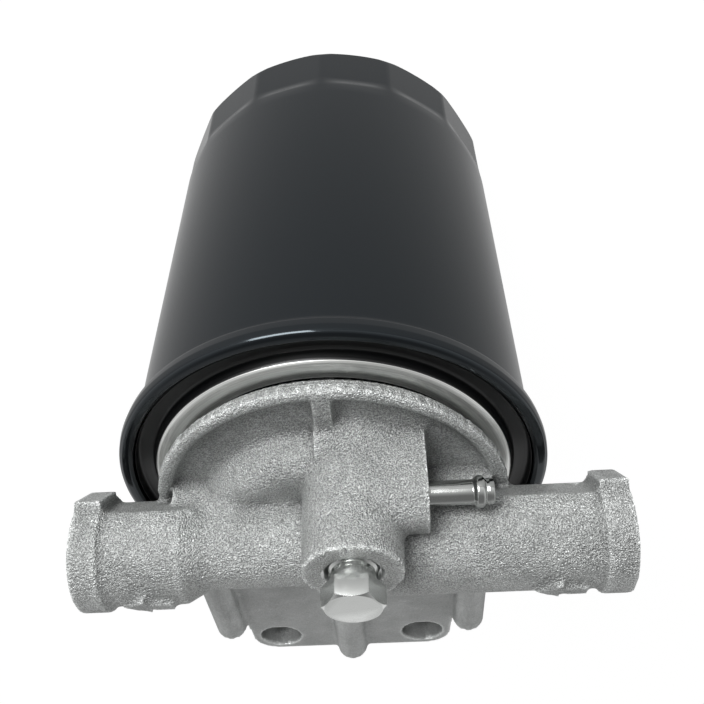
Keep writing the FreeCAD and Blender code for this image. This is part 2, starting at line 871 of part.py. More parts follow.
def anti_drain_diaphragm():
    """Rubber disc that closes the inlet holes when the flow stops."""
    body = new_body("anti_drain_diaphragm")
    turned(body, "diaphragm", [
        (NECK_FIT, DIAPHRAGM_TOP),
        ("diaphragm_radius", DIAPHRAGM_TOP),
        ("diaphragm_radius", DIAPHRAGM_TOP + " - diaphragm_sheet"),
        ("diaphragm_hub", DIAPHRAGM_TOP + " - diaphragm_sheet"),
        ("diaphragm_hub", GROMMET_TOP),
        (NECK_FIT, GROMMET_TOP),
    ])
    place(body)


# ---- filter element ----

MEDIA_TOP = CAP_TOP + " - cap_sheet"
MEDIA_FOOT = MEDIA_TOP + " - media_length"
CAP_FOOT = MEDIA_FOOT + " - cap_sheet"


def element_grommet():
    body = new_body("element_grommet")
    turned(body, "grommet", [
        (NECK_FIT, GROMMET_TOP),
        ("grommet_radius", GROMMET_TOP),
        ("grommet_radius", CAP_TOP),
        ("grommet_collar", CAP_TOP),
        ("grommet_collar", CAP_TOP + " - grommet_drop"),
        (NECK_FIT, CAP_TOP + " - grommet_drop"),
    ])
    place(body)


def element_caps():
    """Pressed end caps; their skirts hold the pleats and their holes take grommet and bypass."""
    top = new_body("element_top_cap")
    turned(top, "cap", [
        ("grommet_collar + lid_fit", CAP_TOP),
        (CAP_RADIUS, CAP_TOP),
        (CAP_RADIUS, CAP_TOP + " - cap_skirt"),
        (CAP_RADIUS + " - cap_sheet", CAP_TOP + " - cap_skirt"),
        (CAP_RADIUS + " - cap_sheet", MEDIA_TOP),
        ("grommet_collar + lid_fit", MEDIA_TOP),
    ])
    place(top)
    bottom = new_body("element_bottom_cap")
    turned(bottom, "cap", [
        ("bypass_port", CAP_FOOT),
        (CAP_RADIUS, CAP_FOOT),
        (CAP_RADIUS, CAP_FOOT + " + cap_skirt"),
        (CAP_RADIUS + " - cap_sheet", CAP_FOOT + " + cap_skirt"),
        (CAP_RADIUS + " - cap_sheet", MEDIA_FOOT),
        ("bypass_port", MEDIA_FOOT),
    ])
    place(bottom)


def element_media():
    """Pleated sheet: a closed zigzag band, padded over the element's length."""
    count = int(SIZES["pleat_count"])
    half = SIZES["media_sheet"] / 2
    inner = SIZES["media_inner"]
    outer = SIZES["body_radius"] - SIZES["wall"] - SIZES["element_gap"] - SIZES["cap_sheet"] - SIZES["pleat_fit"]
    step = math.pi / count
    slant = half * math.hypot(outer - inner, inner * step) / (inner * step)
    fold = min(slant, (outer - inner) / 3)
    loops = []
    for offset in (0, -fold):
        corners = []
        for index in range(2 * count):
            radius = (outer if index % 2 else inner + fold) + offset
            angle = index * step
            corners.append(FreeCAD.Vector(radius * math.cos(angle), radius * math.sin(angle), 0))
        loops.append(Part.Wire(Part.makePolygon(corners + corners[:1])))
    band = Part.Face(loops[0]).cut(Part.Face(loops[1]))
    media = doc.addObject("Part::Feature", "element_media")
    media.Shape = band.Faces[0].extrude(FreeCAD.Vector(0, 0, SIZES["media_length"]))
    place(media, z=MEDIA_FOOT)


def element_core():
    """Perforated centre tube that keeps the pleats from collapsing."""
    body = new_body("element_core")
    turned(body, "tube", [
        ("core_radius - core_wall", "0"),
        ("core_radius", "0"),
        ("core_radius", "media_length"),
        ("core_radius - core_wall", "media_length"),
    ])
    hole = bore(
        body,
        "hole",
        "core_hole_radius",
        "core_radius + 1",
        z="media_length / (core_hole_rows + 1)",
        turn=TO_OUTLET,
    )
    rows = doc.addObject("PartDesign::LinearPattern", "rows")
    rows.Direction = (plane(body, "Z_Axis"), [""])
    bind(rows, "Length", "media_length * (core_hole_rows - 1) / (core_hole_rows + 1)")
    bind(rows, "Occurrences", "core_hole_rows")
    columns = doc.addObject("PartDesign::PolarPattern", "columns")
    columns.Axis = (plane(body, "Z_Axis"), [""])
    columns.Angle = 360
    bind(columns, "Occurrences", "core_hole_columns")
    holes = body.newObject("PartDesign::MultiTransform", "holes")
    holes.Originals = [hole]
    holes.Transformations = [rows, columns]
    body.Tip = holes
    place(body, z=MEDIA_FOOT)


def coil_spring(name, radius, wire, turns, length, foot):
    """A round-wire coil; its length is from its lowest metal to its highest."""
    body = new_body(name)
    section = body.newObject("Sketcher::SketchObject", name + "_section")
    section.AttachmentSupport = [(plane(body, "XZ_Plane"), "")]
    section.MapMode = "FlatFace"
    start = FreeCAD.Vector(SIZES[radius], SIZES[wire], 0)
    section.addGeometry(Part.Circle(start, FreeCAD.Vector(0, 0, 1), SIZES[wire]), False)
    for kind, text in (("DistanceX", radius), ("DistanceY", wire)):
        number = section.addConstraint(Sketcher.Constraint(kind, -1, 1, 0, 3, SIZES[text]))
        bind(section, "Constraints[%d]" % number, text)
    number = section.addConstraint(Sketcher.Constraint("Radius", 0, SIZES[wire]))
    bind(section, "Constraints[%d]" % number, wire)
    coil = body.newObject("PartDesign::AdditiveHelix", name + "_coil")
    coil.Profile = section
    coil.ReferenceAxis = (section, ["V_Axis"])
    coil.Mode = "height-turns-angle"
    bind(coil, "Height", "%s - 2 * %s" % (length, wire))
    bind(coil, "Turns", turns)
    place(body, z=foot)


# ---- bypass valve, end spring and magnet ----

def bypass_poppet():
    """Valve disc that closes the port in the bottom cap from the clean side."""
    body = new_body("bypass_poppet")
    turned(body, "poppet", [
        ("0", "seal_gap"),
        ("poppet_radius", "seal_gap"),
        ("poppet_radius", "poppet_thickness"),
        ("stem_radius", "poppet_thickness"),
        ("stem_radius", "poppet_thickness + stem_length"),
        ("0", "poppet_thickness + stem_length"),
    ])
    place(body, z=MEDIA_FOOT)


def bypass_cage():
    """Cup over the poppet, with a guide hole for its stem and windows for the flow."""
    body = new_body("bypass_cage")
    turned(body, "cage", [
        ("cage_radius - cage_sheet", "0"),
        ("cage_radius", "0"),
        ("cage_radius", "cage_height"),
        ("stem_radius + thread_fit", "cage_height"),
        ("stem_radius + thread_fit", "cage_height - cage_sheet"),
        ("cage_radius - cage_sheet", "cage_height - cage_sheet"),
    ])
    window = block(
        body,
        "window",
        "cage_radius + 1",
        "cage_window",
        "cage_height - cage_sheet * 4",
        kind="SubtractiveBox",
        y="-cage_window / 2",
        z="cage_sheet * 2",
    )
    patterned(body, "windows", [window], "4")
    place(body, z=MEDIA_FOOT)


RECESS_FLOOR = END_INNER + " + end_recess"


def magnet_cup():
    body = new_body("magnet_cup")
    turned(body, "cup", [
        ("0", "0"),
        ("magnet_outer + lid_fit + cup_sheet", "0"),
        ("magnet_outer + lid_fit + cup_sheet", "cup_sheet + magnet_height + cup_lip"),
        ("magnet_outer + lid_fit", "cup_sheet + magnet_height + cup_lip"),
        ("magnet_outer + lid_fit", "cup_sheet"),
        ("0", "cup_sheet"),
    ])
    place(body, z=RECESS_FLOOR)


def magnet_ring():
    body = new_body("magnet_ring")
    rod(body, "magnet", "magnet_outer", "magnet_height")
    bore(body, "magnet_bore", "magnet_inner", "magnet_height + 2", z="-1")
    place(body, z=RECESS_FLOOR + " + cup_sheet")


def check_and_export():
    doc.recompute()
    failed = [item.Name for item in doc.Objects if {"Invalid", "Error"} & set(item.State)]
    if failed:
        raise RuntimeError("failed objects: " + ", ".join(failed))
    for node in nodes:
        if node.Shape.isNull() or not node.Shape.isValid():
            raise RuntimeError("bad shape: " + node.Label)
    os.makedirs("parts", exist_ok=True)
    for node in nodes:
        node.Shape.exportStep("parts/%s.step" % node.Label)
        print("%-22s solids %d, volume %.1f" % (node.Label, len(node.Shape.Solids), node.Shape.Volume))


fill_sheet()
filter_head()
centre_stud()
vent_plug()
vent_ring()
hose_nipple()
canister_shell()
seaming_lid()
head_gasket()
tapping_plate()
anti_drain_diaphragm()
element_grommet()
element_caps()
element_media()
element_core()
bypass_poppet()
bypass_cage()
coil_spring(
    "bypass_spring",
    "bypass_coil_radius",
    "bypass_wire",
    "bypass_turns",
    "(cage_height - cage_sheet - poppet_thickness)",
    MEDIA_FOOT + " + poppet_thickness",
)
coil_spring(
    "end_spring",
    "coil_radius",
    "coil_wire",
    "coil_turns",
    "(%s - (%s))" % (CAP_FOOT, RECESS_FLOOR),
    RECESS_FLOOR,
)
magnet_cup()
magnet_ring()
check_and_export()
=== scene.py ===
import json
import math

import bpy
import numpy as np
from mathutils import Matrix, Vector


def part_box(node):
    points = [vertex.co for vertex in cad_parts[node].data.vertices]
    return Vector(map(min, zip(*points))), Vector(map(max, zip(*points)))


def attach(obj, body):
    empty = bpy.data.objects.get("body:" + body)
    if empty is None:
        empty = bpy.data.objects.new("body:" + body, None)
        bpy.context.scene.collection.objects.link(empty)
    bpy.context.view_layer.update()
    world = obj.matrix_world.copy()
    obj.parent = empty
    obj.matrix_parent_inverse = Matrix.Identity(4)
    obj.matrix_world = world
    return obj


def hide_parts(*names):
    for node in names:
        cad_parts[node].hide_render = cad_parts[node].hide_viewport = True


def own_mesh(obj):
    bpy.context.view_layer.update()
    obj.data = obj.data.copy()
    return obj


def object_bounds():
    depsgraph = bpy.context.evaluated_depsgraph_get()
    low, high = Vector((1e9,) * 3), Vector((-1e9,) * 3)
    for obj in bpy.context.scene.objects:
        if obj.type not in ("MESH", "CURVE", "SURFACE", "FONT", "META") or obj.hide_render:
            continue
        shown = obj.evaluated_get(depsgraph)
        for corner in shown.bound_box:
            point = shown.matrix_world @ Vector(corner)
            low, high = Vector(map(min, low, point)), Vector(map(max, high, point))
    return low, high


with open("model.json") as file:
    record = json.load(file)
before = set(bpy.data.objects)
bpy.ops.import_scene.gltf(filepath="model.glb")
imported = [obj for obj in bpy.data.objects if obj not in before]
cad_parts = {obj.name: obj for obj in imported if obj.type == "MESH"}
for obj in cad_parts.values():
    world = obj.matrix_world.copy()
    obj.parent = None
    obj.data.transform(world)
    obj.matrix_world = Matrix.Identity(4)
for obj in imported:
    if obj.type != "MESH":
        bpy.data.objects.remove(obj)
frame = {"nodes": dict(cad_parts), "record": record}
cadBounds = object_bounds()
mm = 0.001


def cornersOf(node):
    low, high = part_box(node)
    return low, high, (low + high) / 2


lidHigh, lidMiddle = cornersOf("seaming_lid")[1:]
canLow, canHigh = cornersOf("canister_shell")[:2]
headLow, headHigh = cornersOf("filter_head")[:2]
plugLow, plugHigh, plugMiddle = cornersOf("vent_plug")
hoseLow, hoseHigh, hoseMiddle = cornersOf("hose_nipple")
seam = Vector((lidMiddle.x, lidMiddle.y, lidHigh.z))  # can axis, level with the rolled seam


def deselectAll():
    if bpy.context.mode != "OBJECT":
        bpy.ops.object.mode_set(mode="OBJECT")
    bpy.ops.object.select_all(action="DESELECT")


def pick(piece):
    deselectAll()
    piece.select_set(True)
    bpy.context.view_layer.objects.active = piece


def applyPlace(piece):
    pick(piece)
    bpy.ops.object.transform_apply(location=True, rotation=True, scale=True)


def applyModifier(piece, kind, **settings):
    pick(piece)
    modifier = piece.modifiers.new(kind.title(), kind)
    for name, value in settings.items():
        setattr(modifier, name, value)
    bpy.ops.object.modifier_apply(modifier=modifier.name)


def linear(hexColour):
    values = [int(hexColour[i:i + 2], 16) / 255 for i in (1, 3, 5)]
    values = [v / 12.92 if v <= 0.04045 else ((v + 0.055) / 1.055) ** 2.4 for v in values]
    return (*values, 1.0)


def addNode(tree, kind, settings=None, links=None):
    node = tree.nodes.new(kind)
    for name, value in (settings or {}).items():
        if isinstance(name, str) and hasattr(node, name):
            setattr(node, name, value)
        else:
            node.inputs[name].default_value = value
    for name, socket in (links or {}).items():
        tree.links.new(socket, node.inputs[name])
    return node


def newMaterial(name):
    material = bpy.data.materials.new(name)
    material.use_nodes = True
    tree = material.node_tree
    shader = tree.nodes["Principled BSDF"]
    place = addNode(tree, "ShaderNodeTexCoord").outputs["Object"]
    return material, tree, shader, place


def noise(tree, place, size, detail=2.0, roughness=0.5):
    # size is the width of one blotch, in metres
    return addNode(
        tree,
        "ShaderNodeTexNoise",
        {"Scale": 1 / size, "Detail": detail, "Roughness": roughness},
        {"Vector": place},
    ).outputs["Fac"]


def ramp(tree, factor, stops):
    node = addNode(tree, "ShaderNodeValToRGB", links={"Fac": factor})
    elements = node.color_ramp.elements
    while len(elements) < len(stops):
        elements.new(0.5)
    for element, (position, value) in zip(elements, stops):
        element.position = position
        element.color = linear(value) if isinstance(value, str) else (value, value, value, 1)
    return node.outputs["Color"]


def roughen(tree, shader, height, strength, depth):
    bump = addNode(
        tree,
        "ShaderNodeBump",
        {"Strength": strength, "Distance": depth},
        {"Height": height},
    )
    tree.links.new(bump.outputs[0], shader.inputs["Normal"])


def multiplied(tree, colour, shade, share=1.0):
    # share is a number, or a socket where it changes over the surface
    node = addNode(
        tree,
        "ShaderNodeMix",
        {"data_type": "RGBA", "blend_type": "MULTIPLY"},
        {6: colour, 7: shade},
    )
    if isinstance(share, float):
        node.inputs[0].default_value = share
    else:
        tree.links.new(share, node.inputs[0])
    return node.outputs[2]


castSettings = {
    "dark": "#a6a8a7",
    "light": "#bcbebd",
    "grain": 0.62 * mm,  # shot-blast dimples
    "mottle": 9 * mm,
    "swell": 2.4 * mm,  # the die's own unevenness
    "swellDepth": 0.3 * mm,
    "grainDepth": 0.45 * mm,
    "roughness": 0.42,
    "metallic": 0.55,
    "shadeReach": 4 * mm,  # how near a wall must be for its corner to take painted shade
    "smoothFrom": -0.052,  # the flange's skin is finer than the head's
    "smoothTo": -0.038,
}


def shotBlastedCasting():
    # A380 aluminium die casting, shot-blasted: pale grey metal with a sparkling, sandy skin; its
    # outer edges carry painted highlights, and its inner creases, corners and recesses carry
    # painted shade
    material, tree, shader, place = newMaterial("shotBlastedCasting")
    s = castSettings
    back = addNode(tree, "ShaderNodeSeparateXYZ", links={"Vector": place}).outputs["Y"]
    coarse = addNode(
        tree,
        "ShaderNodeMapRange",
        {"From Min": s["smoothFrom"], "From Max": s["smoothTo"], "To Min": 1.0, "To Max": 0.25},
        {"Value": back},
    ).outputs[0]
    grain = noise(tree, place, s["grain"], 2.0, 0.6)
    fine = noise(tree, place, s["grain"] / 2.1, 1.0)
    mottle = noise(tree, place, s["mottle"], 3.0)
    tone = ramp(tree, mottle, ((0.3, s["dark"]), (0.7, s["light"])))
    speck = ramp(tree, fine, ((0.36, 0.62), (0.5, 0.96), (0.64, 1.42)))
    colour = multiplied(tree, tone, speck, coarse)
    # painted highlight and shade: convex edges are lightened and inner creases darkened in the base
    # colour, from the mesh's pointiness
    curvature = addNode(tree, "ShaderNodeNewGeometry").outputs["Pointiness"]
    edge = ramp(tree, curvature, ((0.46, 0.6), (0.5, 1.0), (0.55, 1.7)))
    bright = multiplied(tree, colour, edge)
    # painted shade: ambient occlusion darkens the base colour in corners and recesses near walls
    openness = addNode(
        tree,
        "ShaderNodeAmbientOcclusion",
        {"samples": 8, "Distance": s["shadeReach"]},
    ).outputs["AO"]
    recessShade = ramp(tree, openness, ((0.3, 0.5), (0.8, 1.0)))
    withRecessShade = multiplied(tree, bright, recessShade)
    tree.links.new(withRecessShade, shader.inputs["Base Color"])
    rough = ramp(tree, grain, ((0.35, s["roughness"] - 0.12), (0.65, s["roughness"] + 0.15)))
    tree.links.new(rough, shader.inputs["Roughness"])
    height = addNode(tree, "ShaderNodeMath", {"operation": "ADD"}, {0: grain, 1: fine})
    swell = addNode(
        tree,
        "ShaderNodeBump",
        {"Strength": 0.7, "Distance": s["swellDepth"]},
        {"Height": noise(tree, place, s["swell"], 2.0)},
    )
    bump = addNode(
        tree,
        "ShaderNodeBump",
        {"Distance": s["grainDepth"]},
        {"Strength": coarse, "Height": height.outputs[0], "Normal": swell.outputs[0]},
    )
    tree.links.new(bump.outputs[0], shader.inputs["Normal"])
    shader.inputs["Metallic"].default_value = s["metallic"]
    return material


machinedSettings = {
    "toolMarks": 0.5 * mm,
    "threadPitch": 1.5 * mm,
}


def machinedAluminium():
    # bores and faces cut after casting: brighter, with tool marks and tapped ridges along the ports
    material, tree, shader, place = newMaterial("machinedAluminium")
    s = machinedSettings
    marks = noise(tree, place, s["toolMarks"], 2.0)
    tone = ramp(tree, marks, ((0.3, "#b3b5b4"), (0.7, "#cccecd")))
    tree.links.new(tone, shader.inputs["Base Color"])
    across = addNode(tree, "ShaderNodeSeparateXYZ", links={"Vector": place}).outputs["X"]
    thread = addNode(
        tree,
        "ShaderNodeMath",
        {"operation": "PINGPONG", 1: s["threadPitch"] / 2},
        {0: across},
    ).outputs[0]
    roughen(tree, shader, thread, 0.7, 1.0)
    shader.inputs["Roughness"].default_value = 0.28
    shader.inputs["Metallic"].default_value = 1.0
    return material


paintSettings = {
    "colour": "#090b0e",
    "sheen": (0.8, 0.92, 1.0, 1.0),
    "roughness": 0.08,
    "orangePeel": 1.6 * mm,
}


def glossBlackPaint():
    # stoved black enamel on drawn steel: deep, glossy, with a faint orange peel
    material, tree, shader, place = newMaterial("glossBlackPaint")
    s = paintSettings
    peel = noise(tree, place, s["orangePeel"], 1.0)
    roughen(tree, shader, peel, 0.05, 0.05 * mm)
    smear = noise(tree, place, 14 * mm, 3.0)
    rough = ramp(tree, smear, ((0.35, s["roughness"]), (0.75, s["roughness"] * 1.9)))
    tree.links.new(rough, shader.inputs["Roughness"])
    shader.inputs["Base Color"].default_value = linear(s["colour"])
    shader.inputs["Specular Tint"].default_value = s["sheen"]
    return material


def axisDistance(tree, place, centre):
    centred = addNode(
        tree,
        "ShaderNodeMapping",
        {"Location": (-centre.x, -centre.y, 0), "Scale": (1, 1, 0)},
        {"Vector": place},
    ).outputs[0]
    distance = addNode(tree, "ShaderNodeVectorMath", {"operation": "LENGTH"}, {0: centred})
    return distance.outputs["Value"]


def ringLines(tree, place, centre, spacing):
    # fine lines round the can's axis, from the distance to that axis
    along = addNode(
        tree,
        "ShaderNodeMath",
        {"operation": "MULTIPLY", 1: 1 / spacing},
        {0: axisDistance(tree, place, centre)},
    )
    return addNode(
        tree,
        "ShaderNodeTexNoise",
        {"noise_dimensions": "1D", "Scale": 1.0, "Detail": 2.0},
        {"W": along.outputs[0]},
    ).outputs["Fac"]


zincSettings = {
    "lineSpacing": 0.18 * mm,
    "paintedFrom": 40.75 * mm,  # the can's paint reaches in over the lid to this radius
    "overspray": "#0b0c0d",
}


def zincPlatedSheet():
    # bright zinc on pressed sheet: blue-white metal with faint concentric drawing lines
    material, tree, shader, place = newMaterial("zincPlatedSheet")
    s = zincSettings
    lines = ringLines(tree, place, seam, s["lineSpacing"])
    tone = ramp(tree, lines, ((0.3, "#d0d1cf"), (0.7, "#eeefec")))
    painted = addNode(
        tree,
        "ShaderNodeMath",
        {"operation": "GREATER_THAN", 1: s["paintedFrom"]},
        {0: axisDistance(tree, place, seam)},
    ).outputs[0]
    colour = addNode(
        tree,
        "ShaderNodeMix",
        {"data_type": "RGBA", 7: linear(s["overspray"])},
        {0: painted, 6: tone},
    )
    tree.links.new(colour.outputs[2], shader.inputs["Base Color"])
    bare = addNode(tree, "ShaderNodeMath", {"operation": "SUBTRACT", 0: 1.0}, {1: painted})
    tree.links.new(bare.outputs[0], shader.inputs["Metallic"])
    rough = ramp(tree, lines, ((0.3, 0.28), (0.7, 0.42)))
    tree.links.new(rough, shader.inputs["Roughness"])
    roughen(tree, shader, lines, 0.25, 0.02 * mm)
    return material


def nickelPlate(name, colour, roughness, grain):
    # bright nickel on turned steel: mirror-like with slight turning marks
    material, tree, shader, place = newMaterial(name)
    cloud = noise(tree, place, 2.5 * mm, 3.0)
    rough = ramp(tree, cloud, ((0.3, roughness), (0.8, roughness * 1.8)))
    tree.links.new(rough, shader.inputs["Roughness"])
    marks = noise(tree, place, grain, 2.0)
    roughen(tree, shader, marks, 0.12, 0.02 * mm)
    shader.inputs["Base Color"].default_value = linear(colour)
    shader.inputs["Metallic"].default_value = 1.0
    return material


def plainMaterial(name, dark, light, roughness, metallic, grain):
    material, tree, shader, place = newMaterial(name)
    patches = noise(tree, place, grain, 3.0)
    tone = ramp(tree, patches, ((0.3, dark), (0.7, light)))
    tree.links.new(tone, shader.inputs["Base Color"])
    roughen(tree, shader, patches, 0.2, 0.05 * mm)
    shader.inputs["Roughness"].default_value = roughness
    shader.inputs["Metallic"].default_value = metallic
    return material


casting = shotBlastedCasting()
machined = machinedAluminium()
paint = glossBlackPaint()
zinc = zincPlatedSheet()
hoseNickel = nickelPlate("hoseNickel", "#b4b6b4", 0.12, 0.4 * mm)
plugNickel = nickelPlate("plugNickel", "#cbcdcb", 0.16, 0.3 * mm)
finishes = {
    "cast_aluminium": casting,
    "black_paint": paint,
    "zinc_sheet": zinc,
    "plate_steel": plainMaterial("phosphatedSteel", "#4f5254", "#6d7072", 0.45, 0.9, 1.5 * mm),
    "bright_plate": plugNickel,
    "sealing_rubber": plainMaterial("nitrileRubber", "#101011", "#1c1c1d", 0.62, 0.0, 0.6 * mm),
    "filter_paper": plainMaterial("resinPaper", "#b79a5f", "#cdb37c", 0.85, 0.0, 0.8 * mm),
    "spring_wire": plainMaterial("drawnWire", "#6f7273", "#8d9091", 0.3, 1.0, 1.0 * mm),
    "ferrite": plainMaterial("sinteredFerrite", "#1f1f21", "#303033", 0.7, 0.1, 0.7 * mm),
}
nodeSlots = {part["node"]: part["material_slot"] for part in frame["record"]["subparts"]}


def dress(piece, material):
    piece.data.materials.clear()
    piece.data.materials.append(material)


for name, node in frame["nodes"].items():
    dress(node, finishes[nodeSlots[name]])
print("materials ready")


def arcCorner(before, corner, after, radius, steps=6):
    # points (radius, height) that round one corner of a section
    a, b, c = Vector(before), Vector(corner), Vector(after)
    u, v = (a - b).normalized(), (c - b).normalized()
    half = u.angle(v) / 2
    reach = radius / math.tan(half)
    middle = b + (u + v).normalized() * (radius / math.sin(half))
    start, end = b + u * reach - middle, b + v * reach - middle
    turn = start.angle_signed(end)
    points = []
    for step in range(steps + 1):
        angle = -turn * step / steps
        points.append(middle + Matrix.Rotation(angle, 2) @ start)
    return [tuple(p) for p in points]


def roundedSection(corners):
    # corners are (radius, height, rounding); the first and last stay sharp
    points = [corners[0][:2]]
    for before, corner, after in zip(corners, corners[1:], corners[2:]):
        if corner[2]:
            points += arcCorner(before[:2], corner[:2], after[:2], corner[2])
        else:
            points.append(corner[:2])
    return points + [corners[-1][:2]]


def turnedPiece(name, rings, centre, segments=192, capStart=False, capEnd=False):
    # one circle is extruded ring by ring; rings are (radius, height above centre) in metres
    deselectAll()
    first = rings[0]
    bpy.ops.mesh.primitive_circle_add(
        vertices=segments,
        radius=first[0],
        fill_type="TRIFAN" if capStart else "NOTHING",
        location=(centre.x, centre.y, centre.z + first[1]),
    )
    piece = bpy.context.active_object
    piece.name = name
    applyPlace(piece)
    bpy.ops.object.mode_set(mode="EDIT")
    bpy.ops.mesh.select_mode(type="VERT")
    bpy.ops.mesh.select_all(action="SELECT")
    if capStart:
        bpy.ops.mesh.select_mode(type="EDGE")
        bpy.ops.mesh.select_all(action="DESELECT")
        bpy.ops.mesh.select_non_manifold(extend=False, use_wire=False, use_multi_face=False,
                                         use_non_contiguous=False, use_verts=False)
    for before, after in zip(rings, rings[1:]):
        rise = after[1] - before[1]
        bpy.ops.mesh.extrude_edges_move(TRANSFORM_OT_translate={"value": (0, 0, rise)})
        scale = after[0] / before[0]
        bpy.ops.transform.resize(value=(scale, scale, 1), center_override=centre)
    if capEnd:
        bpy.ops.mesh.extrude_edges_move(TRANSFORM_OT_translate={"value": (0, 0, 0)})
        bpy.ops.mesh.merge(type="CENTER")
    bpy.ops.mesh.select_all(action="SELECT")
    bpy.ops.mesh.remove_doubles(threshold=1e-7)
    bpy.ops.mesh.normals_make_consistent(inside=False)
    bpy.ops.object.mode_set(mode="OBJECT")
    pick(piece)
    bpy.ops.object.shade_smooth_by_angle(angle=math.radians(35))
    return piece


def millimetres(corners):
    return [tuple(value * mm for value in corner) for corner in corners]


def finishPiece(piece, body, nodes, material):
    dress(piece, material)
    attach(piece, body)
    if nodes:
        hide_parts(*nodes)


canShape = {
    "bodyRadius": 46.5,
    "flats": 15,
    "flatTop": -100.0,  # below the seam
    "flatRun": 1.6,  # length over which a flat fades into the round
    "phase": math.radians(18.9),
    "wallRuns": (-98.0, -60.0, -20.0),  # extra rings down the plain wall
    "flatZone": -95.0,  # below this the wall is cut finely enough to take the flats
    "cuts": 10,
    "segments": 360,
}


def buildCan():
    s = canShape
    bottom = (canLow.z - seam.z) / mm
    lip = (canHigh.x - canLow.x) / 2 / mm
    r = s["bodyRadius"]
    corners = [
        (2.0, bottom + 1.2, 0),
        (29.6, bottom + 1.2, 1.0),
        (32.6, bottom, 1.2),
        (r, bottom, 4.0),
        *((r, height, 0) for height in s["wallRuns"]),
        (r, -6.6, 2.0),
        (lip - 0.35, -4.6, 1.3),
        (lip, -2.4, 1.6),
        (lip - 0.25, -0.1, 1.25),
        (46.9, -0.12, 0.5),
        (46.05, -0.75, 0.25),
        (45.9, -3.6, 0),
        (45.75, -6.0, 0),
    ]
    section = roundedSection(millimetres(corners))
    rings = []
    for a, b in zip(section, section[1:]):
        rings.append(a)
        span = abs(a[1] - b[1])
        if span > 8 * mm or (span > 0.5 * mm and a[1] < s["flatZone"] * mm):
            for cut in range(1, s["cuts"]):
                rings.append(tuple(p + (q - p) * cut / s["cuts"] for p, q in zip(a, b)))
    rings.append(section[-1])
    can = turnedPiece("can", rings, seam, segments=s["segments"], capStart=True)
    step = 2 * math.pi / s["flats"]
    reach = r * math.cos(step / 2) * mm
    for vertex in can.data.vertices:
        x, y, z = vertex.co - seam
        depth = (s["flatTop"] * mm - z) / (s["flatRun"] * mm)
        blend = min(max(depth + 0.5, 0), 1)
        radius = math.hypot(x, y)
        if blend <= 0 or radius < 1e-6:
            continue
        angle = math.atan2(y, x) - s["phase"]
        off = (angle + step / 2) % step - step / 2
        target = min(radius, reach / math.cos(off))
        keep = radius + (target - radius) * blend
        vertex.co.x = seam.x + x * keep / radius
        vertex.co.y = seam.y + y * keep / radius
    finishPiece(can, "cartridge", ["canister_shell"], paint)
    return can


lidShape = {
    "edge": 45.6,
    "edgeTop": -1.4,
    "valley": -3.4,
    "crestOuter": 40.7,
    "crestInner": 36.3,
    "crestTop": -0.05,
    "channelOuter": 35.2,
    "channelInner": 27.4,
    "channelFloor": -5.5,
    "bore": 26.4,
    "boreTop": -4.2,
    "sheet": 1.0,
    "segments": 256,
}


def buildLid():
    # each corner of the section is (radius, height, rounding): along the top, then back underneath
    s = lidShape
    under = s["crestTop"] - s["sheet"]
    foot = s["channelFloor"] - 0.95
    corners = [
        (s["edge"] - 0.05, s["edgeTop"], 0),
        (s["edge"] - 0.3, s["valley"], 0.8),
        (s["crestOuter"] + 0.9, s["valley"], 0.9),
        (s["crestOuter"], s["crestTop"], 1.7),
        (s["crestInner"], s["crestTop"], 1.2),
        (s["channelOuter"], s["crestTop"] - 1.15, 0.5),
        (s["channelOuter"], s["channelFloor"], 0.4),
        (s["channelInner"], s["channelFloor"], 0.4),
        (s["channelInner"], s["boreTop"], 0.3),
        (s["bore"], s["boreTop"], 0.3),
        (s["bore"], foot, 0.4),
        (s["channelOuter"] + s["sheet"], foot, 0.4),
        (s["channelOuter"] + s["sheet"], under, 0.4),
        (s["crestOuter"] - 0.9, under, 0.4),
        (s["crestOuter"] - 0.5, s["valley"] - s["sheet"], 0.4),
        (s["edge"], s["valley"] - s["sheet"], 0.4),
        (s["edge"], s["edgeTop"], 0),
        (s["edge"] - 0.05, s["edgeTop"], 0),
    ]
    section = roundedSection(millimetres(corners))
    lid = turnedPiece("lid", section, seam, segments=s["segments"])
    finishPiece(lid, "cartridge", ["seaming_lid"], zinc)
    return lid


plugShape = {
    "foot": Vector((plugMiddle.x, plugMiddle.y, plugLow.z)),
    "flats": 11.0,
    "hexHeight": 4.6,
    "chamferFoot": 0.75,  # how far down a hexagon corner its chamfer starts
    "chamferRadius": 5.52,
    "neckHeight": 2.6,
    "neckRadius": 4.55,
    "threadCrest": 4.85,
    "threadRoot": 4.3,
    "threadLength": 7.6,
    "pitch": 1.0,
    "spigot": 3.4,
    "tip": 2.6,
    "segments": 128,
}


def joinPieces(first, second):
    applyModifier(first, "BOOLEAN", operation="UNION", solver="MANIFOLD", object=second)
    bpy.data.objects.remove(second)


